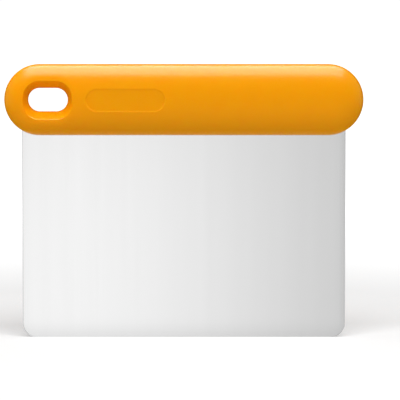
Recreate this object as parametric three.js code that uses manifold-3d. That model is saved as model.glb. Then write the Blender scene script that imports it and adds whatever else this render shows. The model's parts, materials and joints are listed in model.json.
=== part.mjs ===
// Dough scraper: a stainless steel blade in a moulded grip with a hanging eye.
// The blade's tang lies between two core halves that are pegged through it,
// and the grip is moulded over the cores and the tang.
// Millimetres, +Z up. X runs along the grip, the front faces -Y,
// and the origin is the middle of the working edge.

import * as THREE from "three";
import { mergeVertices } from "three/addons/utils/BufferGeometryUtils.js";
import Module from "manifold-3d";

// Grip: a bar with a rounded section and round ends.
const GRIP_LENGTH = 160;
const GRIP_HEIGHT = 31.8;
const GRIP_THICKNESS = 18;
const GRIP_WALL = 3;
// The power of the section's rounding: 2 is an ellipse, and more makes the faces flatter.
const SECTION_POWER = 2.4;

// Blade: a sheet with rounded lower corners, thinned towards its working edge.
const BLADE_REACH = 90.5;
const BLADE_INSET = 7.8;
const BLADE_THICKNESS = 1.2;
const BLADE_CORNER_RADIUS = 6.2;
const EDGE_THICKNESS = 0.5;
const EDGE_TAPER_HEIGHT = 9;

// Tang: the blade's shoulders run into the grip at full width, and a narrower tongue goes on up.
const SHOULDER_DEPTH = 6;
const SHOULDER_RADIUS = 2;
const TANG_DEPTH = 22;
const TANG_END_MARGIN = 8;
const TANG_RADIUS = 3;
const TANG_ROOT_RADIUS = 1;

// Hanging eye: a long hole with a narrow land at mid-thickness, flared out to both faces.
const EYE_LENGTH = 17.6;
const EYE_HEIGHT = 10.4;
const EYE_END_WALL = 10.7;
const EYE_LAND = 3;
const EYE_FLARE_ANGLE = THREE.MathUtils.degToRad(27);

// Pad: a shallow recess with a flat floor in the front of the grip.
const PAD_LENGTH = 35;
const PAD_HEIGHT = 9.8;
const PAD_DEPTH = 0.4;
const PAD_FROM_EYE = 8.4;

// Core: the stiff inside of the grip, in two halves, held together by pegs through the tang.
const CORE_FROM_EYE = 6.7;
const PEG_COUNT = 4;
const PEG_DIAMETER = 5;
const PEG_END_MARGIN = 11;
const PEG_ROOT = 1;
const SOCKET_FLOOR = 1.6;

// Clearance between neighbours, and how far a cut runs past the face that it opens.
const FIT_GAP = 0.3;
const CUT_PAST = 1;

// How finely the round shapes are divided.
const SECTION_STEPS = 40;
const END_STEPS = 40;
const ARC_STEPS = 10;
const PEG_STEPS = 20;

// Places that follow from the sizes.
const gripMiddle = BLADE_REACH + GRIP_HEIGHT / 2;
const bladeSide = GRIP_LENGTH / 2 - BLADE_INSET;
const eyeLeft = -GRIP_LENGTH / 2 + EYE_END_WALL;
const eyeRight = eyeLeft + EYE_LENGTH;
const coreLeft = eyeRight + CORE_FROM_EYE;
const coreRight = GRIP_LENGTH / 2 - GRIP_WALL;
const coreThickness = GRIP_THICKNESS - 2 * GRIP_WALL;
const tangLeft = coreLeft + TANG_END_MARGIN;
const tangRight = coreRight - TANG_END_MARGIN;
const pegFirst = tangLeft + PEG_END_MARGIN;
const pegPitch = (tangRight - tangLeft - 2 * PEG_END_MARGIN) / (PEG_COUNT - 1);
const pegPlaces = Array.from({ length: PEG_COUNT }, (_, i) => pegFirst + i * pegPitch);

const wasm = await Module();
wasm.setup();

// A closed geometry as a solid that can be joined and cut.
function solid(geometry) {
  const bare = geometry.clone();
  bare.deleteAttribute("normal");
  bare.deleteAttribute("uv");
  const merged = mergeVertices(bare);
  const mesh = new wasm.Mesh({
    numProp: 3,
    vertProperties: merged.attributes.position.array,
    triVerts: new Uint32Array(merged.index.array),
  });
  return new wasm.Manifold(mesh);
}

// A finished solid as a named mesh with its own material.
function part(name, body, material) {
  const { vertProperties, triVerts } = body.getMesh();
  const geometry = new THREE.BufferGeometry();
  geometry.setAttribute("position", new THREE.BufferAttribute(vertProperties, 3));
  geometry.setIndex(new THREE.BufferAttribute(triVerts, 1));
  geometry.computeVertexNormals();
  const mesh = new THREE.Mesh(geometry, new THREE.MeshStandardMaterial(material));
  mesh.name = name;
  return mesh;
}

// An outline seen from the front, x to the right and z up, as a slab between two depths.
function slab(outline, front, back) {
  const geometry = new THREE.ExtrudeGeometry(outline, {
    depth: back - front,
    bevelEnabled: false,
    curveSegments: ARC_STEPS,
  });
  geometry.rotateX(Math.PI / 2);
  geometry.translate(0, back, 0);
  return solid(geometry);
}

// An outline seen from the end, y to the right and z up, as a bar from one x to another.
function bar(outline, left, right) {
  const geometry = new THREE.ExtrudeGeometry(outline, {
    depth: right - left,
    bevelEnabled: false,
  });
  geometry.rotateY(Math.PI / 2);
  geometry.rotateX(Math.PI / 2);
  geometry.translate(left, 0, 0);
  return solid(geometry);
}

// A round pin along Y, centred on the grip's height, between two depths.
function pin(diameter, x, front, back) {
  const radius = diameter / 2;
  const geometry = new THREE.CylinderGeometry(radius, radius, back - front, PEG_STEPS);
  geometry.translate(x, (front + back) / 2, gripMiddle);
  return solid(geometry);
}

// A long hole's outline: a bar with half-round ends.
function stadium(centreX, centreZ, length, height) {
  const radius = height / 2;
  const reach = length / 2 - radius;
  const outline = new THREE.Shape();
  outline.absarc(centreX + reach, centreZ, radius, -Math.PI / 2, Math.PI / 2);
  outline.absarc(centreX - reach, centreZ, radius, Math.PI / 2, (3 * Math.PI) / 2);
  return outline;
}

// A polygon whose corners are rounded with arcs. Each corner is [x, z, radius].
function roundedOutline(corners) {
  const places = corners.map(([x, z]) => new THREE.Vector2(x, z));
  const outline = new THREE.Shape();
  corners.forEach(([, , radius], i) => {
    const corner = places[i];
    const before = places.at(i - 1).clone().sub(corner).normalize();
    const after = places[(i + 1) % places.length].clone().sub(corner).normalize();
    const half = Math.acos(before.dot(after)) / 2;
    const middle = before.clone().add(after).setLength(radius / Math.sin(half)).add(corner);
    const start = before.clone().multiplyScalar(radius / Math.tan(half)).add(corner).sub(middle);
    const end = after.clone().multiplyScalar(radius / Math.tan(half)).add(corner).sub(middle);
    const clockwise = before.cross(after) > 0;
    outline.absarc(middle.x, middle.y, radius, start.angle(), end.angle(), clockwise);
  });
  return outline;
}

// The rounded section: |y / half thickness|^power + |z / half height|^power = 1.
function sectionPoint(thickness, height, angle) {
  const round = (value) => Math.sign(value) * Math.abs(value) ** (2 / SECTION_POWER);
  return new THREE.Vector2(
    (thickness / 2) * round(Math.cos(angle)),
    (height / 2) * round(Math.sin(angle)),
  );
}

// A bar of the rounded section with its ends turned round, lying along X at the grip's height.
function roundedBar(left, right, height, thickness) {
  const points = Array.from({ length: SECTION_STEPS }, (_, i) =>
    sectionPoint(thickness, height, (2 * Math.PI * i) / SECTION_STEPS),
  );
  const radius = height / 2;
  const middle = bar(new THREE.Shape(points), left + radius, right - radius);
  const profile = Array.from({ length: SECTION_STEPS / 2 + 1 }, (_, i) => {
    const point = sectionPoint(thickness, height, Math.PI - (2 * Math.PI * i) / SECTION_STEPS);
    const onAxis = i === 0 || i === SECTION_STEPS / 2;
    return new THREE.Vector2(onAxis ? 0 : point.y, point.x);
  });
  const turned = solid(new THREE.LatheGeometry(profile, END_STEPS));
  const leftEnd = turned.translate([left + radius, 0, 0]);
  const rightEnd = turned.translate([right - radius, 0, 0]);
  return middle.add(leftEnd).add(rightEnd).translate([0, 0, gripMiddle]);
}

// The blade's front outline, grown all round by a clearance.
function bladeOutline(gap) {
  const side = bladeSide + gap;
  const shoulder = BLADE_REACH + SHOULDER_DEPTH + gap;
  const top = BLADE_REACH + TANG_DEPTH + gap;
  return roundedOutline([
    [-side, -gap, BLADE_CORNER_RADIUS],
    [side, -gap, BLADE_CORNER_RADIUS],
    [side, shoulder, SHOULDER_RADIUS],
    [tangRight + gap, shoulder, TANG_ROOT_RADIUS],
    [tangRight + gap, top, TANG_RADIUS],
    [tangLeft - gap, top, TANG_RADIUS],
    [tangLeft - gap, shoulder, TANG_ROOT_RADIUS],
    [-side, shoulder, SHOULDER_RADIUS],
  ]);
}

// The space that the blade takes up in the grip and the cores.
function bladeSlot() {
  const half = BLADE_THICKNESS / 2 + FIT_GAP;
  return slab(bladeOutline(FIT_GAP), -half, half);
}

// The blade: its outline, pierced for the pegs, with the thickness of its tapered section.
function makeBlade() {
  const outline = bladeOutline(0);
  for (const x of pegPlaces) {
    const hole = new THREE.Path();
    hole.absarc(x, gripMiddle, PEG_DIAMETER / 2 + FIT_GAP, 0, 2 * Math.PI);
    outline.holes.push(hole);
  }
  const sheet = slab(outline, -BLADE_THICKNESS, BLADE_THICKNESS);
  const full = BLADE_THICKNESS / 2;
  const edge = EDGE_THICKNESS / 2;
  const top = BLADE_REACH + TANG_DEPTH + CUT_PAST;
  const below = edge - (CUT_PAST * (full - edge)) / EDGE_TAPER_HEIGHT;
  const section = new THREE.Shape([
    new THREE.Vector2(-below, -CUT_PAST),
    new THREE.Vector2(below, -CUT_PAST),
    new THREE.Vector2(full, EDGE_TAPER_HEIGHT),
    new THREE.Vector2(full, top),
    new THREE.Vector2(-full, top),
    new THREE.Vector2(-full, EDGE_TAPER_HEIGHT),
  ]);
  return sheet.intersect(bar(section, -bladeSide - CUT_PAST, bladeSide + CUT_PAST));
}

// The core before it is parted: the grip's section less its wall, grown by a clearance.
function coreBar(gap) {
  return roundedBar(
    coreLeft - gap,
    coreRight + gap,
    GRIP_HEIGHT - 2 * GRIP_WALL + 2 * gap,
    coreThickness + 2 * gap,
  );
}

// One half of the core, between two depths, with its pocket for the tang.
function coreHalf(front, back) {
  const end = GRIP_LENGTH / 2;
  const half = new THREE.Shape([
    new THREE.Vector2(-end, BLADE_REACH),
    new THREE.Vector2(end, BLADE_REACH),
    new THREE.Vector2(end, BLADE_REACH + GRIP_HEIGHT),
    new THREE.Vector2(-end, BLADE_REACH + GRIP_HEIGHT),
  ]);
  return coreBar(0).intersect(slab(half, front, back)).subtract(bladeSlot());
}

// The front half carries the pegs, and the rear half has the sockets that they fill.
function makeCores() {
  const socketEnd = coreThickness / 2 - SOCKET_FLOOR;
  const pegRoot = -BLADE_THICKNESS / 2 - FIT_GAP - PEG_ROOT;
  let front = coreHalf(-GRIP_THICKNESS / 2, -FIT_GAP / 2);
  let rear = coreHalf(FIT_GAP / 2, GRIP_THICKNESS / 2);
  for (const x of pegPlaces) {
    front = front.add(pin(PEG_DIAMETER, x, pegRoot, socketEnd - FIT_GAP));
    rear = rear.subtract(pin(PEG_DIAMETER + 2 * FIT_GAP, x, 0, socketEnd));
  }
  return [front, rear];
}

// The cut for the hanging eye: straight through the land, then flaring past both faces.
function eyeCut() {
  const flareDepth = (GRIP_THICKNESS - EYE_LAND) / 2 + CUT_PAST;
  const flare = flareDepth * Math.tan(EYE_FLARE_ANGLE);
  const outline = stadium((eyeLeft + eyeRight) / 2, gripMiddle, EYE_LENGTH, EYE_HEIGHT);
  const geometry = new THREE.ExtrudeGeometry(outline, {
    depth: EYE_LAND,
    bevelThickness: flareDepth,
    bevelSize: -flare,
    bevelOffset: flare,
    bevelSegments: 1,
    curveSegments: ARC_STEPS,
  });
  geometry.rotateX(Math.PI / 2);
  geometry.translate(0, EYE_LAND / 2, 0);
  return solid(geometry);
}

// The cut for the pad, from its floor out past the front face.
function padCut() {
  const front = -GRIP_THICKNESS / 2;
  const centre = eyeRight + PAD_FROM_EYE + PAD_LENGTH / 2;
  const outline = stadium(centre, gripMiddle, PAD_LENGTH, PAD_HEIGHT);
  return slab(outline, front - CUT_PAST, front + PAD_DEPTH);
}

// The grip: hollow for the cores, open below for the blade, with its eye and its pad.
function makeGrip() {
  return roundedBar(-GRIP_LENGTH / 2, GRIP_LENGTH / 2, GRIP_HEIGHT, GRIP_THICKNESS)
    .subtract(coreBar(FIT_GAP))
    .subtract(bladeSlot())
    .subtract(eyeCut())
    .subtract(padCut());
}

const steel = { color: 0xd9d9d7, roughness: 0.35, metalness: 1 };
const amberPlastic = { color: 0xf19a12, roughness: 0.4, metalness: 0 };
const corePlastic = { color: 0xe6e1d3, roughness: 0.6, metalness: 0 };

const [frontCore, rearCore] = makeCores();
const doughScraper = new THREE.Group();
doughScraper.add(
  part("blade", makeBlade(), steel),
  part("front_core", frontCore, corePlastic),
  part("rear_core", rearCore, corePlastic),
  part("grip", makeGrip(), amberPlastic),
);

export default doughScraper;
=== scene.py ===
# %% [markdown]
# # A dough scraper
# A sheet of steel with a fat moulded grip along its top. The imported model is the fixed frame: it says
# where each piece is and how big it is. This lesson makes the surfaces that the eye sees around it,
# finishes them, and lights them on a plain pale floor.

# %% Load the frame
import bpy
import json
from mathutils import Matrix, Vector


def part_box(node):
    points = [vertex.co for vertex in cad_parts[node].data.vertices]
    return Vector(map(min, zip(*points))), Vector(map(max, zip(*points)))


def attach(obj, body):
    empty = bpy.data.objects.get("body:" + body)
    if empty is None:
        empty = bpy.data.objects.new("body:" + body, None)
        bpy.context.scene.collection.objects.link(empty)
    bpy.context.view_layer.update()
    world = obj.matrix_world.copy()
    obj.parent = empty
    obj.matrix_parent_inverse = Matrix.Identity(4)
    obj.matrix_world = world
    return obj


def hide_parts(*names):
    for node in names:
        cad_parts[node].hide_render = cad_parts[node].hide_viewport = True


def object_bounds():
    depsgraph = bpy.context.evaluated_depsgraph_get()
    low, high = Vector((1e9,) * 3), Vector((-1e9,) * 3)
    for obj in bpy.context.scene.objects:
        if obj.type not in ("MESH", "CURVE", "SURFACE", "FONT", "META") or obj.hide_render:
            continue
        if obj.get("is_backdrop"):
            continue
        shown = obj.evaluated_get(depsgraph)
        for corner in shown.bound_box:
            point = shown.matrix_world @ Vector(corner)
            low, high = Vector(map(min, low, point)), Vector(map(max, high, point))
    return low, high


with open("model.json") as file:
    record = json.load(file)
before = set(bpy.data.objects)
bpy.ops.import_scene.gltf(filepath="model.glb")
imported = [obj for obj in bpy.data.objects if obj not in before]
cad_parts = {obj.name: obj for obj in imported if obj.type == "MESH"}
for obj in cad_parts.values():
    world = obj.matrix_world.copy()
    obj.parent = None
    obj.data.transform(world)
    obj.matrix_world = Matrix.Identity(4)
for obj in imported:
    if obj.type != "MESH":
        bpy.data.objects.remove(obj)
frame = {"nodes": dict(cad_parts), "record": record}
print("frame", sorted(frame["nodes"]))

# %% [markdown]
# ## What the frame says
# Lengths are worked out in millimetres, as on a drawing, and turned to metres when a mesh is made. The
# grip's and the blade's boxes give the overall sizes, and two of the record's mounts give the middle of
# the hanging eye and of the recess.

# %% Measure the frame
import json
import math

import bmesh
import bpy
import numpy as np
from mathutils import Vector

MM = 0.001

cad_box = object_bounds()
mounts = {mount["name"]: np.array(mount["pos_m"]) / MM for mount in frame["record"]["mounts"]}
grip_low, grip_high = np.array(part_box("grip")) / MM
blade_low, blade_high = np.array(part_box("blade")) / MM
core_low, core_high = np.array([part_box("front_core")[0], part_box("rear_core")[1]]) / MM
grip_middle = (grip_low[2] + grip_high[2]) / 2
print("grip", grip_low.round(2), grip_high.round(2), "blade", blade_low.round(2), blade_high.round(2))

# %% [markdown]
# ## The camera
# The photograph was taken square on and from far away, a few degrees above the grip: the recess and the
# far rim of the eye show that. A long lens from over a metre does the same. The grip's two ends and its
# middle line, measured in the photograph, set the lens and the aim, so no fitting by eye is needed.

# %% Camera
IMAGE_SIDE = 400
GRIP_LEFT_COLUMN = 4.25
GRIP_RIGHT_COLUMN = 363.45
GRIP_MIDDLE_ROW = 99.6
CAMERA_ELEVATION = math.radians(4.5)
CAMERA_DISTANCE = 1200 * MM

forward = Vector((0, math.cos(CAMERA_ELEVATION), -math.sin(CAMERA_ELEVATION)))
upward = Vector((0, math.sin(CAMERA_ELEVATION), math.cos(CAMERA_ELEVATION)))
pixel = (grip_high[0] - grip_low[0]) * MM / (GRIP_RIGHT_COLUMN - GRIP_LEFT_COLUMN)
right_of_grip = IMAGE_SIDE / 2 - (GRIP_LEFT_COLUMN + GRIP_RIGHT_COLUMN) / 2
below_grip = IMAGE_SIDE / 2 - GRIP_MIDDLE_ROW
aim = Vector((right_of_grip * pixel, 0, grip_middle * MM)) - upward * below_grip * pixel

camera = bpy.data.objects.new("camera", bpy.data.cameras.new("camera"))
bpy.context.scene.collection.objects.link(camera)
bpy.context.scene.camera = camera
camera.location = aim - forward * CAMERA_DISTANCE
camera.rotation_euler = forward.to_track_quat("-Z", "Y").to_euler()
camera.data.lens = camera.data.sensor_width * CAMERA_DISTANCE / (IMAGE_SIDE * pixel)
print("camera at", [round(c, 3) for c in camera.location], "lens", round(camera.data.lens, 1), "mm")

# %% [markdown]
# ## From grids to meshes
# Every new surface here is one or more grids of points: three arrays of one shape, one for each
# coordinate. Neighbouring points make four-sided faces. Where two grids meet, or a grid closes on
# itself, their points fall on the same place and are merged, which closes the seams, and then the faces
# can be turned outwards.

# %% Shells from grids
WELD = 0.0005


def shell(name, grids):
    """An object made of point grids in millimetres: each cell is a face, points that meet are
    merged."""
    points, faces, start = [], [], 0
    for grid in grids:
        rows, columns = grid[0].shape
        index = start + np.arange(rows * columns).reshape(rows, columns)
        corners = (index[:-1, :-1], index[:-1, 1:], index[1:, 1:], index[1:, :-1])
        faces.append(np.stack(corners, axis=-1).reshape(-1, 4))
        points.append(np.stack(grid, axis=-1).reshape(-1, 3))
        start += rows * columns
    mesh = bpy.data.meshes.new(name)
    mesh.from_pydata((np.concatenate(points) * MM).tolist(), [], np.concatenate(faces).tolist())
    work = bmesh.new()
    work.from_mesh(mesh)
    bmesh.ops.remove_doubles(work, verts=work.verts, dist=WELD * MM)
    bmesh.ops.recalc_face_normals(work, faces=work.faces)
    open_edges = sum(not edge.is_manifold for edge in work.edges)
    work.to_mesh(mesh)
    work.free()
    piece = bpy.data.objects.new(name, mesh)
    bpy.context.scene.collection.objects.link(piece)
    print(name, len(mesh.polygons), "faces", open_edges, "open edges")
    return piece


# %% [markdown]
# ## The shape of the grip
# The grip is one thick moulding of plastic. Seen from the front it is a bar with half-round ends, and
# its thickness falls away evenly from the middle line to the outline. It could be sculpted, but one
# rule gives the whole face: the half thickness at a point depends only on how far that point lies from
# the middle line. The hanging eye and the recess are long holes with half-round ends too, so the same
# distance, taken from their own middle lines, shapes them.

# %% The rounded bar
SECTION_POWER = 2.4

bar_radius = (grip_high[2] - grip_low[2]) / 2
bar_depth = grip_high[1]
bar_reach = grip_high[0] - bar_radius


def line_distance(x, z, left, right):
    """How far a point lies, in the front view, from the stretch of the grip's middle line from left to
    right."""
    return np.hypot(x - np.clip(x, left, right), z)


def bar_face(x, z, radius=bar_radius, depth=bar_depth, left=-bar_reach, right=bar_reach):
    """Half thickness of a rounded bar: depth * (1 - (distance / radius)^power)^(1 / power)."""
    share = np.clip(line_distance(x, z, left, right) / radius, 0, 1)
    return depth * (1 - share**SECTION_POWER) ** (1 / SECTION_POWER)


print("bar radius", bar_radius, "half thickness", bar_depth)

# %% [markdown]
# ### Three fields
# A plain grid across the grip would cut the eye and the recess into steps. So the face is laid out in
# three fields, one around the eye, one around the recess and one for the plain right end. In each field
# rings run outwards from a middle line to the field's outline, so that the mesh's lines follow the
# edges. Where two fields meet, both use the same section points, and the seam closes.

# %% Stretches of outline
SECTION_STEPS = 36
END_STEPS = 48
RUN_STEP = 1.25
LEAST_RUN_STEPS = 2
RIGHT_END = (-90, 90)
LEFT_END = (90, 270)

half_section = np.sin(np.linspace(0, math.pi / 2, SECTION_STEPS + 1)) ** (2 / SECTION_POWER)


def run(start, end, height):
    """Points along the bar's upper or lower outline."""
    steps = max(LEAST_RUN_STEPS, round(abs(end - start) / RUN_STEP))
    x = np.linspace(start, end, steps + 1)
    return np.stack([x, np.full_like(x, height)])


def rise(x, sign):
    """Points on a section line across the bar, upwards or downwards, spaced by equal angles of its
    curve."""
    z = np.concatenate([-half_section[:0:-1], half_section]) * bar_radius * sign
    return np.stack([np.full_like(z, x), z])


def turn(centre, radius, start, end):
    """Points round one of the bar's half-round ends, between two angles in degrees."""
    angle = np.radians(np.linspace(start, end, END_STEPS + 1))
    return np.stack([centre + radius * np.cos(angle), radius * np.sin(angle)])


def outline(*stretches):
    """One line of points from stretches that follow on from each other."""
    joined = [stretch[:, :-1] for stretch in stretches[:-1]] + [stretches[-1]]
    return np.concatenate(joined, axis=1)


print("section points", 2 * SECTION_STEPS + 1, "end points", END_STEPS + 1)

# %% Rings out to an outline
RING_STEPS = 24
CROWDING = 1.2
CROWDING_POWER = 8


def rings(edge, left, right, near, shares):
    """Rings from the middle line between left and right out to an edge line: each point moves straight
    out from its foot on the middle line. The first rings keep the distances in near, the rest share out
    what is left."""
    foot = np.clip(edge[0], left, right)
    across = edge[0] - foot
    span = np.hypot(across, edge[1])
    inner = np.broadcast_to(near, (len(near), span.size))
    distance = np.concatenate([inner, inner[-1] + (span - inner[-1]) * shares])
    return foot + across / span * distance, edge[1] / span * distance


def crowded(edge):
    """Shares of the way to an edge line, even inside the bar and crowded at its outline, where the face
    drops."""
    outward = line_distance(*edge, -bar_reach, bar_reach) / bar_radius
    crowding = 1 + CROWDING * outward**CROWDING_POWER
    even = np.linspace(0, 1, RING_STEPS + 1)[1:, None]
    return 1 - (1 - even) ** crowding


print("rings per field", RING_STEPS)

# %% [markdown]
# ### Around the eye
# The eye lets the scraper hang on a hook. Its wall starts as a straight land in the middle of the
# thickness and opens like a bell to each face, wider above and below than at its two ends. Its rim is a
# small round on the real moulding, in a face that dips a little towards it. A bevel would need a clean
# edge loop there; a soft smaller-of-two between the depth of the flare and the depth of the face gives
# the same round, and needs none.

# %% The eye's wall
EYE_LENGTH = 17.6
EYE_HEIGHT = 10.4
EYE_LAND = 3.0
EYE_FLARE = math.tan(math.radians(18))
EYE_END_FLARE = math.tan(math.radians(12))
EYE_BELL = 0.035
EYE_END_BELL = 0.017
EYE_BEND = 0.7
EYE_RIM = 0.2

eye_x = mounts["hanging_eye"][0]
eye_radius = EYE_HEIGHT / 2
eye_reach = EYE_LENGTH / 2 - eye_radius


def soft_ramp(value, bend):
    """Zero below nought and the value above it, joined by a smooth bend of a given width:
    (value + sqrt(value^2 + bend^2)) / 2."""
    return (value + np.hypot(value, bend)) / 2


def soft_least(a, b, bend):
    """The smaller of two depths, with the crease between them rounded off over a bend: the smaller
    less overlap^2 / (4 * bend), where overlap is how far the two are within a bend of each other."""
    overlap = np.clip(bend - np.abs(a - b), 0, None)
    return np.minimum(a, b) - overlap**2 / (4 * bend)


def eye_wall(depth, endways):
    """The eye's wall: its distance from the eye's middle line at a depth. It is straight over the land
    and then opens by flare * way + bell * way^2. Both change from the sides to the ends with endways,
    the square of how far a point's direction leans to an end."""
    half_land = EYE_LAND / 2
    flare = EYE_FLARE + (EYE_END_FLARE - EYE_FLARE) * endways
    bell = EYE_BELL + (EYE_END_BELL - EYE_BELL) * endways
    way = soft_ramp(depth - half_land, EYE_BEND) - soft_ramp(-half_land, EYE_BEND)
    return eye_radius + flare * way + bell * way**2


mouth_above, mouth_endways = eye_wall(bar_depth, 0), eye_wall(bar_depth, 1)
print("eye's mouth above", mouth_above.round(2), "at its ends", mouth_endways.round(2))

# %% The field around the eye
EYE_MARGIN = 6.5
DISH_DEPTH = 0.25
DISH_WIDTH = 2.2
RIM_DROP = 0.5
LAND_STEPS = 8
FLARE_STEPS = 36

eye_end = eye_x + EYE_LENGTH / 2 + EYE_MARGIN
eye_edge = outline(
    rise(eye_end, 1),
    run(eye_end, -bar_reach, bar_radius),
    turn(-bar_reach, bar_radius, *LEFT_END),
    run(-bar_reach, eye_end, -bar_radius),
)
land_end = EYE_LAND / 2 + EYE_BEND
wall_depths = np.concatenate([
    np.linspace(0, land_end, LAND_STEPS)[:-1],
    np.linspace(land_end, bar_depth + EYE_RIM, FLARE_STEPS),
])[:, None]
eye_across = eye_edge[0] - np.clip(eye_edge[0], eye_x - eye_reach, eye_x + eye_reach)
endways = eye_across**2 / (eye_across**2 + eye_edge[1] ** 2)
eye_near = eye_wall(wall_depths, endways)
eye_grid = rings(eye_edge, eye_x - eye_reach, eye_x + eye_reach, eye_near, crowded(eye_edge))
# The rim lies about RIM_DROP below the crown of the face, which dips towards it over DISH_WIDTH.
eye_away = line_distance(*eye_grid, eye_x - eye_reach, eye_x + eye_reach)
past_rim = (eye_away - eye_wall(bar_depth - RIM_DROP, endways)) / DISH_WIDTH
eye_face = bar_face(*eye_grid) - DISH_DEPTH * np.clip(1 - past_rim, 0, 1) ** 2
walled = len(wall_depths)
eye_face[:walled] = soft_least(eye_face[:walled], wall_depths, EYE_RIM)
print("eye field", eye_face.shape, "points, highest rim", eye_face[:walled].max().round(2))

# %% [markdown]
# ### Around the recess
# The recess is a flat-floored lozenge pressed a little into the crown of the face, with a narrow
# sloping wall. It is too shallow for a boolean to cut cleanly, so the rings that lie over it take the
# floor's depth, and a smooth step brings them back up to the face. On the rear the same field stays
# plain.

# %% The field around the recess
PAD_LENGTH = 35.0
PAD_HEIGHT = 9.8
PAD_WALL = 0.6
PAD_MARGIN = 8.0
FLOOR_RINGS = 5
WALL_RINGS = 15


def smooth_step(share):
    """A climb from 0 to 1 that starts and ends level: 3 * share^2 - 2 * share^3."""
    return share**2 * (3 - 2 * share)


pad_x = mounts["recess_floor"][0]
pad_floor = -mounts["recess_floor"][1]
pad_radius = PAD_HEIGHT / 2
pad_reach = PAD_LENGTH / 2 - pad_radius
pad_end = pad_x + PAD_LENGTH / 2 + PAD_MARGIN
pad_edge = outline(
    rise(pad_end, 1),
    run(pad_end, eye_end, bar_radius),
    rise(eye_end, -1),
    run(eye_end, pad_end, -bar_radius),
)
pad_near = np.concatenate([
    np.linspace(0, pad_radius - PAD_WALL, FLOOR_RINGS)[:-1],
    np.linspace(pad_radius - PAD_WALL, pad_radius + PAD_WALL, WALL_RINGS),
])[:, None]
pad_grid = rings(pad_edge, pad_x - pad_reach, pad_x + pad_reach, pad_near, crowded(pad_edge))
plain_face = bar_face(*pad_grid)
climb = smooth_step(np.clip((pad_near - pad_radius + PAD_WALL / 2) / PAD_WALL, 0, 1))
pad_face = plain_face.copy()
pad_face[: len(pad_near)] = pad_floor + (plain_face[: len(pad_near)] - pad_floor) * climb
print("recess field", pad_face.shape, "points, floor at", pad_floor)

# %% The plain right end
end_edge = outline(
    run(pad_end, bar_reach, -bar_radius),
    turn(bar_reach, bar_radius, *RIGHT_END),
    run(bar_reach, pad_end, bar_radius),
)
end_grid = rings(end_edge, pad_end, bar_reach, np.zeros((1, 1)), half_section[1:, None])
end_face = bar_face(*end_grid)
print("right end", end_face.shape, "points")

# %% [markdown]
# ### One closed moulding
# The front and rear faces meet on the silhouette and inside the eye, which closes the moulding.

# %% The grip's shell
fields = [
    (eye_grid, eye_face, eye_face),
    (pad_grid, pad_face, plain_face),
    (end_grid, end_face, end_face),
]
grip_faces = [(x, -front, z + grip_middle) for (x, z), front, _ in fields]
grip_faces += [(x, rear, z + grip_middle) for (x, z), _, rear in fields]
grip = shell("grip_moulding", grip_faces)

# %% [markdown]
# ## The blade
# The blade is a stamped sheet: straight sides, rounded lower corners, a working edge that is ground
# thinner, and a tang that stays hidden in the grip. It is built as rows from the working edge up, each
# with its height, its left and its right end.

# %% Rows of the sheet
BLADE_CORNER = 6.2
SHOULDER_DEPTH = 6.0
SHOULDER_RADIUS = 2.0
TANG_MARGIN = 8.0
TANG_CORNER = 3.0
CORNER_STEPS = 24
SHEET_STEPS = 36
SEAM = 0.02

blade_side = blade_high[0]
shoulder = grip_low[2] + SHOULDER_DEPTH
tang_top = blade_high[2]
tang_left = core_low[0] + TANG_MARGIN
tang_right = core_high[0] - TANG_MARGIN


def corner_rows(height, left, right, radius, sign):
    """Rows through a pair of rounded corners, by equal angles: sign 1 opens upwards from a height, -1
    closes."""
    angle = np.linspace(0, math.pi / 2, CORNER_STEPS + 1)[::sign]
    drawn_in = radius * (1 - np.sin(angle))
    return np.stack([height + sign * radius * (1 - np.cos(angle)), left + drawn_in, right - drawn_in])


straight = np.linspace(BLADE_CORNER, shoulder - SHOULDER_RADIUS, SHEET_STEPS)[1:-1]
sheet_rows = np.concatenate([
    corner_rows(0, -blade_side, blade_side, BLADE_CORNER, 1),
    np.stack(np.broadcast_arrays(straight, -blade_side, blade_side)),
    corner_rows(shoulder, -blade_side, blade_side, SHOULDER_RADIUS, -1),
    np.array([[shoulder + SEAM], [tang_left], [tang_right]]),
    corner_rows(tang_top, tang_left, tang_right, TANG_CORNER, -1),
], axis=1)
print("blade rows", sheet_rows.shape[1], "up to", sheet_rows[0].max())

# %% [markdown]
# ### Its thickness
# Grinding thins the sheet towards the working edge. Stamping rolls its border over a little, and a
# small round is left where the burr was taken off. A bevel modifier would give the round but not the
# wide roll, and that is what makes the border of a stamped sheet catch the light. So the thickness is
# worked out point by point from the distance to the outline, and the columns stand close together near
# the border to hold it.

# %% The sheet's thickness
EDGE_THICKNESS = 0.5
EDGE_HEIGHT = 9.0
EDGE_ROUND = 0.2
ROLL_WIDTH = 3.2
ROLL_SHARE = 0.06
ROUND_STEPS = 6
ROLL_STEPS = 10
SHEET_COLUMNS = 72

sheet_half = blade_high[1]


def sheet_face(x, z):
    """Half thickness of the sheet: it thins by a parabola towards the working edge and, rolled over a
    little by the stamping, by another along the outline, which ends in a quarter circle. Both go by the
    distance inside it."""
    low = np.clip(1 - z / EDGE_HEIGHT, 0, 1)
    half = sheet_half - (sheet_half - EDGE_THICKNESS / 2) * low**2
    beside, below = np.abs(x) - (blade_side - BLADE_CORNER), BLADE_CORNER - z
    past = np.hypot(np.clip(beside, 0, None), np.clip(below, 0, None))
    inside = BLADE_CORNER - past - np.minimum(np.maximum(beside, below), 0)
    rolled = half * (1 - ROLL_SHARE * np.clip(1 - inside / ROLL_WIDTH, 0, 1) ** 2)
    short = np.clip(EDGE_ROUND - inside, 0, EDGE_ROUND)
    return rolled - (EDGE_ROUND - np.sqrt(EDGE_ROUND**2 - short**2))


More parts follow.
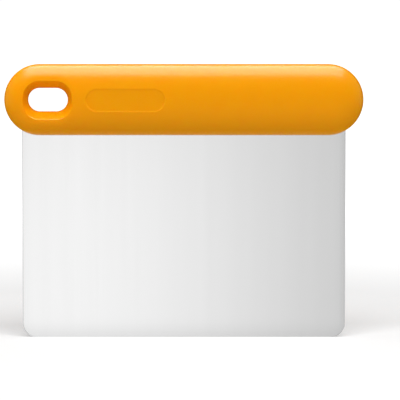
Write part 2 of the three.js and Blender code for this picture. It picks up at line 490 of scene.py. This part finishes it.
def column_shares(width):
    """Shares of the way across: by equal angles over the round, close over the roll and even between
    the rolls."""
    quarter = np.linspace(0, math.pi / 2, ROUND_STEPS + 1)
    rounded = EDGE_ROUND * (1 - np.cos(quarter))
    rolled = np.linspace(EDGE_ROUND, ROLL_WIDTH, ROLL_STEPS + 1)[1:]
    edge = np.concatenate([rounded, rolled])
    middle = np.linspace(ROLL_WIDTH, width - ROLL_WIDTH, SHEET_COLUMNS + 1)[1:-1]
    return np.concatenate([edge, middle, width - edge[::-1]]) / width


print("half thickness", sheet_face(0, np.array([0, EDGE_ROUND, EDGE_HEIGHT])).round(3))

# %% The blade's shell
def border(grid):
    """The points round the edge of a grid, closed."""
    return np.concatenate([grid[0, :-1], grid[:-1, -1], grid[-1, :0:-1], grid[::-1, 0]])


def plate(name, rows, face, shares):
    """A closed flat piece: rows from a left to a right end, divided by shares, as a front, a back and
    the rim between them. The half thickness is the function face."""
    height, left, right = rows[:, :, None]
    x = left + (right - left) * shares
    z = np.repeat(height, len(shares), axis=1)
    y = face(x, z)
    rim = [np.stack([border(front), border(back)]) for front, back in ((x, x), (-y, y), (z, z))]
    return shell(name, [(x, -y, z), (x, y, z), rim])


blade = plate("blade_sheet", sheet_rows, sheet_face, column_shares(2 * blade_side))

# %% [markdown]
# ### Holes and hollows
# The core's pegs pass through the tang, the core fills the grip, and the blade enters the grip through
# a slot. None of this shows, but the pieces must not run into each other. The tools below cut that room
# with booleans: round bars for the peg holes, the rounded-bar rule again for the hollow, and a plain
# plate for the slot.

# %% Peg holes in the tang
FIT_GAP = 0.3
PEG_DIAMETER = 5.0
PEG_COUNT = 4
PEG_MARGIN = 11.0
PEG_STEPS = 32


def rod(name, x, z, radius, half_length):
    """A closed round bar along Y: its radius goes nought, full, full, nought along its length."""
    angle = np.linspace(0, 2 * math.pi, PEG_STEPS + 1)
    spread = radius * np.array([0, 1, 1, 0])[:, None]
    length = half_length * np.array([-1, -1, 1, 1])[:, None]
    return shell(name, [(x + spread * np.cos(angle), length + 0 * angle, z + spread * np.sin(angle))])


def carve(piece, tool):
    """Cuts a closed tool out of a piece for good, and throws the tool away."""
    cut = piece.modifiers.new("carve", "BOOLEAN")
    cut.operation = "DIFFERENCE"
    cut.solver = "EXACT"
    cut.object = tool
    seen = piece.evaluated_get(bpy.context.evaluated_depsgraph_get())
    carved = bpy.data.meshes.new_from_object(seen)
    piece.modifiers.clear()
    piece.data = carved
    bpy.data.objects.remove(tool)
    print(piece.name, "carved to", len(carved.polygons), "faces")


for peg_x in np.linspace(tang_left + PEG_MARGIN, tang_right - PEG_MARGIN, PEG_COUNT):
    carve(blade, rod("peg_hole", peg_x, grip_middle, PEG_DIAMETER / 2 + FIT_GAP, 2 * sheet_half))

# %% The grip's hollow and slot
SLOT_GAP = 0.02
SLOT_SHARES = np.linspace(0, 1, 3)

core_radius = (core_high[2] - core_low[2]) / 2 + FIT_GAP
core_left, core_right = core_low[0] - FIT_GAP + core_radius, core_high[0] + FIT_GAP - core_radius
core_edge = outline(
    turn(core_right, core_radius, *RIGHT_END),
    run(core_right, core_left, core_radius),
    turn(core_left, core_radius, *LEFT_END),
    run(core_left, core_right, -core_radius),
)
core_x, core_z = rings(core_edge, core_left, core_right, np.zeros((1, 1)), half_section[1:, None])
core_y = bar_face(core_x, core_z, core_radius, core_high[1] + FIT_GAP, core_left, core_right)
core_z = core_z + grip_middle
carve(grip, shell("hollow", [(core_x, -core_y, core_z), (core_x, core_y, core_z)]))

slot_side = blade_side + SLOT_GAP
slot_rows = np.array([[0, shoulder + SLOT_GAP], [-slot_side, -slot_side], [slot_side, slot_side]])
carve(grip, plate("slot", slot_rows, lambda x, z: np.full_like(x, sheet_half + SLOT_GAP), SLOT_SHARES))

# %% [markdown]
# ### Shading and frame
# Smooth shading hides the facets, and edges sharper than a set angle stay sharp. Then each piece is
# tied to the frame: it takes the place of its node, which is hidden, and it moves with the one body.

# %% Shading and frame
SHARP_ANGLE = math.radians(40)

for piece, node, slot in ((grip, "grip", "grip_plastic"), (blade, "blade", "blade_steel")):
    piece.data.shade_smooth()
    piece.data.set_sharp_from_angle(angle=SHARP_ANGLE)
    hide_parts(node)
    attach(piece, "root")
    print(piece.name, "stands for", node, "with", len(piece.data.polygons), "faces")

# %% [markdown]
# ## Materials
# One function adds a node to a material: it sets the node's own settings, and fills its sockets with
# values or with links. Colours are written as sRGB hex values, as a colour picker shows them, and
# turned to the linear values that the renderer works with.

# %% Material helpers
WHITE = "#FFFFFF"
FULL_CHANNEL = 255
SRGB_DARKEST = 0.04045
SRGB_SLOPE = 12.92
SRGB_OFFSET = 0.055
SRGB_POWER = 2.4


def linear(colour):
    """An sRGB hex colour as linear red, green and blue, and an alpha of 1: the sRGB curve undone. A
    channel c becomes c / slope where it is darkest, and ((c + offset) / (1 + offset))^power elsewhere."""
    channels = np.array([*bytes.fromhex(colour[1:])]) / FULL_CHANNEL
    darkest = channels / SRGB_SLOPE
    others = ((channels + SRGB_OFFSET) / (1 + SRGB_OFFSET)) ** SRGB_POWER
    return [*np.where(channels <= SRGB_DARKEST, darkest, others).tolist(), 1.0]


def add(tree, kind, sockets=(), **settings):
    """Adds a node. Settings go onto the node, and each socket gets a value, or a link from another
    node's output."""
    node = tree.nodes.new(kind)
    for name, value in settings.items():
        setattr(node, name, value)
    for name, value in dict(sockets).items():
        if isinstance(value, bpy.types.NodeSocket):
            tree.links.new(value, node.inputs[name])
        else:
            node.inputs[name].default_value = value
    return node


def blank(name):
    """A new material with an empty node tree, and the tree."""
    material = bpy.data.materials.new(name)
    material.use_nodes = True
    material.node_tree.nodes.clear()
    return material, material.node_tree


def finish_with(piece, material):
    """Gives a piece one material all over."""
    piece.data.materials.clear()
    piece.data.materials.append(material)
    print(piece.name, "is", material.name, "with", len(material.node_tree.nodes), "nodes")


print("white is", linear(WHITE))

# %% [markdown]
# ### Amber polypropylene
# The grip is polypropylene, dyed through and moulded in a steel mould with a finely blasted surface.
# That gives the eye a deep amber that drifts a little where the melt flowed, a satin grain that spreads
# the gloss, and a thin raised line where the two halves of the mould met. The grain and the line are
# bump, because they are finer than any edge that the mesh could hold, and the same grain makes the
# gloss uneven. The plastic also lets some light in, red deepest, so that its shaded parts, such as the
# upper wall of the eye, glow warmer than paint would.

# %% Amber polypropylene
AMBER = "#F49F04"
AMBER_DRIFT = "#F29C03"
DRIFT_SPACING = 14 * MM
DRIFT_DETAIL = 2.0
# A blasted mould's grain is about 0.1 mm. It is drawn coarser here, because that would not show.
GRAIN_SPACING = 0.35 * MM
GRAIN_DETAIL = 3.0
GRAIN_HEIGHT = 0.006 * MM
# The line where the halves of a mould meet is about 0.05 mm wide. It is drawn wider too.
PARTING_WIDTH = 0.2 * MM
PARTING_HEIGHT = 0.02 * MM
AMBER_ROUGHNESS = (0.24, 0.32)
NOISE_RANGE = (0.3, 0.7)
POLYPROPYLENE_IOR = 1.49
AMBER_SPECULAR = 0.12
SCATTER_WEIGHT = 0.5
SCATTER_DEPTH = 4 * MM
SCATTER_SHARES = (1.0, 0.35, 0.05)


def amber_polypropylene():
    """Dyed polypropylene from a blasted mould: deep warm amber, satin grain, a broad soft gloss, a
    parting line."""
    material, tree = blank("amber_polypropylene_moulded")
    place = add(tree, "ShaderNodeTexCoord").outputs["Object"]
    drift = add(tree, "ShaderNodeTexNoise", {
        "Vector": place, "Scale": 1 / DRIFT_SPACING, "Detail": DRIFT_DETAIL}).outputs["Fac"]
    colour = add(tree, "ShaderNodeMixRGB", {
        "Fac": drift, "Color1": linear(AMBER), "Color2": linear(AMBER_DRIFT)}).outputs["Color"]
    grain = add(tree, "ShaderNodeTexNoise", {
        "Vector": place, "Scale": 1 / GRAIN_SPACING, "Detail": GRAIN_DETAIL}).outputs["Fac"]
    gloss = add(tree, "ShaderNodeMapRange", {
        "Value": grain, "From Min": NOISE_RANGE[0], "From Max": NOISE_RANGE[1],
        "To Min": AMBER_ROUGHNESS[0], "To Max": AMBER_ROUGHNESS[1]}).outputs["Result"]
    depth = add(tree, "ShaderNodeSeparateXYZ", {"Vector": place}).outputs["Y"]
    from_parting = add(tree, "ShaderNodeMath", {0: depth}, operation="ABSOLUTE").outputs["Value"]
    parting = add(tree, "ShaderNodeMapRange", {
        "Value": from_parting, "From Max": PARTING_WIDTH / 2,
        "To Min": PARTING_HEIGHT / GRAIN_HEIGHT, "To Max": 0.0}).outputs["Result"]
    height = add(tree, "ShaderNodeMath", {0: grain, 1: parting}, operation="ADD").outputs["Value"]
    bump = add(tree, "ShaderNodeBump", {"Height": height, "Distance": GRAIN_HEIGHT}).outputs["Normal"]
    shader = add(tree, "ShaderNodeBsdfPrincipled", {
        "Base Color": colour, "Roughness": gloss, "Normal": bump,
        "IOR": POLYPROPYLENE_IOR, "Specular IOR Level": AMBER_SPECULAR,
        "Subsurface Weight": SCATTER_WEIGHT, "Subsurface Scale": SCATTER_DEPTH,
        "Subsurface Radius": SCATTER_SHARES})
    add(tree, "ShaderNodeOutputMaterial", {"Surface": shader.outputs["BSDF"]})
    return material


finish_with(grip, amber_polypropylene())

# %% [markdown]
# ### Satin stainless steel
# The blade is stainless sheet, brushed on a belt with a fine grit, so that it is pale, neutral and
# satin: it mirrors the room as soft tones and shows no clear picture. The brush leaves upright strokes.
# Each is far finer than a pixel, so they could be left to the roughness alone; two noises, squeezed
# along Z into strokes and into wider bands, let a hint of them show.

# %% Satin stainless steel
STEEL = "#E4E4E4"
STEEL_STROKE = "#E6E6E6"
# Brush strokes are about 0.05 mm wide. They are drawn coarser here, because that would not show.
STROKE_SPACING = 0.5 * MM
STROKE_DETAIL = 3.0
BAND_SPACING = 5 * MM
BAND_DETAIL = 1.0
STROKE_SQUEEZE = 0.01
STROKES_AND_BANDS_RANGE = (0.7, 1.3)
STEEL_ROUGHNESS = (0.205, 0.225)


def satin_stainless():
    """Stainless sheet with a fine brushed finish: pale neutral grey, soft reflections, faint upright
    strokes."""
    material, tree = blank("stainless_steel_satin_brushed")
    place = add(tree, "ShaderNodeTexCoord").outputs["Object"]
    upright = add(tree, "ShaderNodeMapping", {
        "Vector": place, "Scale": (1.0, 1.0, STROKE_SQUEEZE)}).outputs["Vector"]
    strokes = add(tree, "ShaderNodeTexNoise", {
        "Vector": upright, "Scale": 1 / STROKE_SPACING, "Detail": STROKE_DETAIL}).outputs["Fac"]
    bands = add(tree, "ShaderNodeTexNoise", {
        "Vector": upright, "Scale": 1 / BAND_SPACING, "Detail": BAND_DETAIL}).outputs["Fac"]
    both = add(tree, "ShaderNodeMath", {0: strokes, 1: bands}, operation="ADD").outputs["Value"]
    share = add(tree, "ShaderNodeMapRange", {
        "Value": both, "From Min": STROKES_AND_BANDS_RANGE[0],
        "From Max": STROKES_AND_BANDS_RANGE[1]}).outputs["Result"]
    colour = add(tree, "ShaderNodeMixRGB", {
        "Fac": share, "Color1": linear(STEEL), "Color2": linear(STEEL_STROKE)}).outputs["Color"]
    gloss = add(tree, "ShaderNodeMapRange", {
        "Value": strokes, "From Min": NOISE_RANGE[0], "From Max": NOISE_RANGE[1],
        "To Min": STEEL_ROUGHNESS[0], "To Max": STEEL_ROUGHNESS[1]}).outputs["Result"]
    shader = add(tree, "ShaderNodeBsdfPrincipled", {
        "Base Color": colour, "Roughness": gloss, "Metallic": 1.0})
    add(tree, "ShaderNodeOutputMaterial", {"Surface": shader.outputs["BSDF"]})
    return material


finish_with(blade, satin_stainless())

# %% [markdown]
# ### Natural polypropylene
# The two halves of the core are moulded from undyed polypropylene, which is milky and a little cloudy.
# They stay inside the grip, so one slow noise between two near colours is enough.

# %% Natural polypropylene
MILKY = "#E6E1D3"
MILKY_CLOUD = "#DDD7C6"
CLOUD_SPACING = 6 * MM
CLOUD_DETAIL = 3.0
MILKY_ROUGHNESS = 0.5


def natural_polypropylene():
    """Undyed polypropylene, as moulded: milky, dull, slightly cloudy."""
    material, tree = blank("natural_polypropylene_moulded")
    place = add(tree, "ShaderNodeTexCoord").outputs["Object"]
    cloud = add(tree, "ShaderNodeTexNoise", {
        "Vector": place, "Scale": 1 / CLOUD_SPACING, "Detail": CLOUD_DETAIL}).outputs["Fac"]
    colour = add(tree, "ShaderNodeMixRGB", {
        "Fac": cloud, "Color1": linear(MILKY), "Color2": linear(MILKY_CLOUD)}).outputs["Color"]
    shader = add(tree, "ShaderNodeBsdfPrincipled", {
        "Base Color": colour, "Roughness": MILKY_ROUGHNESS, "IOR": POLYPROPYLENE_IOR})
    add(tree, "ShaderNodeOutputMaterial", {"Surface": shader.outputs["BSDF"]})
    return material


core_plastic = natural_polypropylene()
for node in ("front_core", "rear_core"):
    finish_with(frame["nodes"][node], core_plastic)

# %% [markdown]
# ## Floor and light
# ### The floor
# A pale floor in a white surround. The floor is matt and shows the shadow; rays that look straight at
# it also get a little light of its own, so that lit floor comes out white. Without that, a floor that
# is bright enough to look white would throw too much light up at the object.

# %% Floor
FLOOR_SIDE = 60.0
FLOOR_COLOUR = "#FAFAFA"
FLOOR_ROUGHNESS = 0.9
LIFT = 0.24
LIFT_NEAR = 0.2
LIFT_FAR = 0.7


def board(name, corners, faces, material):
    """A flat or folded sheet of the set, which is no part of the object."""
    mesh = bpy.data.meshes.new(name)
    mesh.from_pydata(corners, [], faces)
    mesh.materials.append(material)
    sheet = bpy.data.objects.new(name, mesh)
    bpy.context.scene.collection.objects.link(sheet)
    sheet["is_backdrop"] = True
    print(name, [round(side, 2) for side in sheet.dimensions], "m")
    return sheet


def seen_directly(tree):
    """1 for rays that show a surface as it looks, straight, mirrored or through glass, and 0 for
    scattered light."""
    rays = add(tree, "ShaderNodeLightPath").outputs
    mirrored = add(tree, "ShaderNodeMath", {
        0: rays["Is Camera Ray"], 1: rays["Is Glossy Ray"]}, operation="MAXIMUM").outputs["Value"]
    either = add(tree, "ShaderNodeMath", {
        0: mirrored, 1: rays["Is Transmission Ray"]}, operation="MAXIMUM")
    return either.outputs["Value"]


def pale_floor():
    """A matt pale floor. Its own light grows with the distance from the object, where the lamps no
    longer reach."""
    material, tree = blank("pale_floor")
    place = add(tree, "ShaderNodeTexCoord").outputs["Object"]
    away = add(tree, "ShaderNodeVectorMath", {0: place}, operation="LENGTH").outputs["Value"]
    level = add(tree, "ShaderNodeMapRange", {
        "Value": away, "From Min": LIFT_NEAR, "From Max": LIFT_FAR,
        "To Min": LIFT, "To Max": 1.0}).outputs["Result"]
    lift = add(tree, "ShaderNodeMath", {
        0: seen_directly(tree), 1: level}, operation="MULTIPLY").outputs["Value"]
    shader = add(tree, "ShaderNodeBsdfPrincipled", {
        "Base Color": linear(FLOOR_COLOUR), "Roughness": FLOOR_ROUGHNESS, "Specular IOR Level": 0.0,
        "Emission Color": linear(WHITE), "Emission Strength": lift})
    add(tree, "ShaderNodeOutputMaterial", {"Surface": shader.outputs["BSDF"]})
    return material


half_floor = FLOOR_SIDE / 2
floor_corners = [(x * half_floor, y * half_floor, 0) for x, y in ((-1, -1), (1, -1), (1, 1), (-1, 1))]
floor = board("floor", floor_corners, [(0, 1, 2, 3)], pale_floor())
floor.visible_glossy = False

# %% [markdown]
# ### What the steel mirrors
# A flat sheet of steel has little tone of its own: it shows whatever stands in front of it. Here that
# is a cloth all round it, in front, under the floor, behind and overhead. No lamp shines through it:
# its glow is painted, brightest at a spot left of the middle. So the blade is brightest on its left and
# falls off softly to the right and to its ground edge. Farther out the painted glow has a paler ring,
# which gives the steel its soft change of tone when it is seen from a corner. Only mirrored rays see
# the cloth, and only the steel is lit by it: to the plastic it is a dark surround that keeps its colour
# deep.

# %% Cloth
CLOTH_DISTANCE = 1.7
CLOTH_HALF_WIDTH = 3.0
CLOTH_LOW = -0.5
CLOTH_HIGH = 3.0
SPOT_X = -0.15
SPOT_Z = -0.15
SPOT_FLATTENING = 0.58
SPOT_BRIGHTNESS = 1.415
CLOTH_FALL = ((0.0, 1.0), (0.45, 0.4), (0.6, 0.4), (1.0, 0.78), (1.45, 0.42), (2.4, 0.6))


def painted_glow_cloth():
    """A cloth with a painted glow, as if lit from behind: bright at a spot, with dim and pale rings about
    it. The brightness goes by the distance from the spot across X and Z, in metres, as pairs of a
    distance and a share of the spot's."""
    material, tree = blank("painted_glow_cloth")
    place = add(tree, "ShaderNodeTexCoord").outputs["Object"]
    reach = CLOTH_FALL[-1][0]
    about_spot = add(tree, "ShaderNodeMapping", {
        "Vector": place, "Location": (-SPOT_X / reach, 0, -SPOT_Z * SPOT_FLATTENING / reach),
        "Scale": (1 / reach, 0, SPOT_FLATTENING / reach)}).outputs["Vector"]
    away = add(tree, "ShaderNodeVectorMath", {0: about_spot}, operation="LENGTH").outputs["Value"]
    fall = add(tree, "ShaderNodeValToRGB", {"Fac": away})
    fall.color_ramp.interpolation = "EASE"
    for distance, _ in CLOTH_FALL[1:-1]:
        fall.color_ramp.elements.new(distance / reach)
    for stop, (_, share) in zip(fall.color_ramp.elements, CLOTH_FALL):
        stop.color = (share, share, share, 1)
    # Painted light: the bright spot and its rings are the cloth's own glow, with no lamp behind it.
    glow = add(tree, "ShaderNodeEmission", {"Color": fall.outputs["Color"], "Strength": SPOT_BRIGHTNESS})
    add(tree, "ShaderNodeOutputMaterial", {"Surface": glow.outputs["Emission"]})
    return material


def light_only(lit, name, *pieces):
    """Makes a lamp or a glowing sheet light some pieces only."""
    receivers = bpy.data.collections.new(name)
    for piece in pieces:
        receivers.objects.link(piece)
    lit.light_linking.receiver_collection = receivers


folds = (
    (-CLOTH_DISTANCE, CLOTH_HIGH),
    (-CLOTH_DISTANCE, CLOTH_LOW),
    (CLOTH_DISTANCE, CLOTH_LOW),
    (CLOTH_DISTANCE, CLOTH_HIGH),
)
cloth_corners = [(side * CLOTH_HALF_WIDTH, y, z) for y, z in folds for side in (-1, 1)]
cloth_faces = [(0, 1, 3, 2), (2, 3, 5, 4), (4, 5, 7, 6), (6, 7, 1, 0)]
cloth = board("cloth", cloth_corners, cloth_faces, painted_glow_cloth())
cloth.visible_camera = False
cloth.visible_diffuse = False
cloth.visible_transmission = False
cloth.visible_shadow = False
light_only(cloth, "cloth_lights", blade)

# %% [markdown]
# ### Lamps
# Shading and gloss are lit apart, as a photographer does with soft lamps for the form and a strip for
# the shine. A key high in front shapes the grip and throws the shadow. Four fills reach only the grip,
# so that they throw none: one brightens its left end, one its upper half, and two do for its back what
# the key does for its front. The strip, almost overhead, makes the pale bands along the top of the
# grip. Each lamp's level says how bright a white card that faces it would look, for a lamp that is
# small beside its distance.

# %% Lamps
LAMP_AIM = Vector((0, 0, 0.08))


def lamp(name, azimuth, elevation, distance, size, level):
    """A rectangular lamp that looks at the object from a direction in degrees: azimuth 0 is in front,
    90 to the right. The power that lights a facing white card to a level is level * (pi *
    distance)^2."""
    light = bpy.data.lights.new(name, "AREA")
    light.shape = "RECTANGLE"
    light.size, light.size_y = size
    light.energy = level * (math.pi * distance) ** 2
    around, above = math.radians(azimuth), math.radians(elevation)
    level_way = math.cos(above)
    towards = Vector((math.sin(around) * level_way, -math.cos(around) * level_way, math.sin(above)))
    housing = bpy.data.objects.new(name, light)
    housing.location = LAMP_AIM + distance * towards
    housing.rotation_euler = towards.to_track_quat("Z", "Y").to_euler()
    bpy.context.scene.collection.objects.link(housing)
    print(name, round(light.energy, 2), "W")
    return housing


key = lamp("key", azimuth=8, elevation=56, distance=1.2, size=(1.8, 0.7), level=0.98)
left_fill = lamp("left_fill", azimuth=-70, elevation=35, distance=1.4, size=(1.0, 1.0), level=0.24)
top_fill = lamp("top_fill", azimuth=0, elevation=76, distance=1.2, size=(1.2, 0.8), level=0.25)
rear_fill = lamp("rear_fill", azimuth=180, elevation=14, distance=1.4, size=(1.8, 1.0), level=0.8)
rear_key = lamp("rear_key", azimuth=180, elevation=56, distance=1.2, size=(1.8, 0.7), level=0.1)
for shaping in (key, left_fill, top_fill, rear_fill, rear_key):
    shaping.visible_glossy = False
for fill in (left_fill, top_fill, rear_fill, rear_key):
    light_only(fill, fill.name + "_lights", grip)

strip = lamp("strip", azimuth=0, elevation=86, distance=0.75, size=(1.0, 1.06), level=8.9)
strip.visible_diffuse = False
light_only(strip, "strip_lights", grip)

# %% [markdown]
# ### The surround
# The world is white to rays that look straight at it and dim to scattered light, so it fills the
# background and the gloss, and adds only a little soft light from all round. Colours are shown as they
# are, with the Standard view.

# %% World
AMBIENT = 0.2

world = bpy.data.worlds.new("white_surround")
bpy.context.scene.world = world
world.use_nodes = True
world.node_tree.nodes.clear()
surround = world.node_tree
dim = add(surround, "ShaderNodeBackground", {"Color": linear(WHITE), "Strength": AMBIENT})
white = add(surround, "ShaderNodeBackground", {"Color": linear(WHITE), "Strength": 1.0})
shown = add(surround, "ShaderNodeMixShader", {
    0: seen_directly(surround), 1: dim.outputs["Background"], 2: white.outputs["Background"]})
add(surround, "ShaderNodeOutputWorld", {"Surface": shown.outputs["Shader"]})
bpy.context.scene.view_settings.view_transform = "Standard"
print("world", AMBIENT, "to scattered light, 1.0 seen directly")

# %% [markdown]
# ## Size
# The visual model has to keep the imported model's box, so both boxes are written down side by side.

# %% Size
visual_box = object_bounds()
boxes = {"cad": cad_box, "visual": visual_box}
for name, (low, high) in boxes.items():
    print(name, [round((h - l) / MM, 2) for l, h in zip(low, high)], "mm")
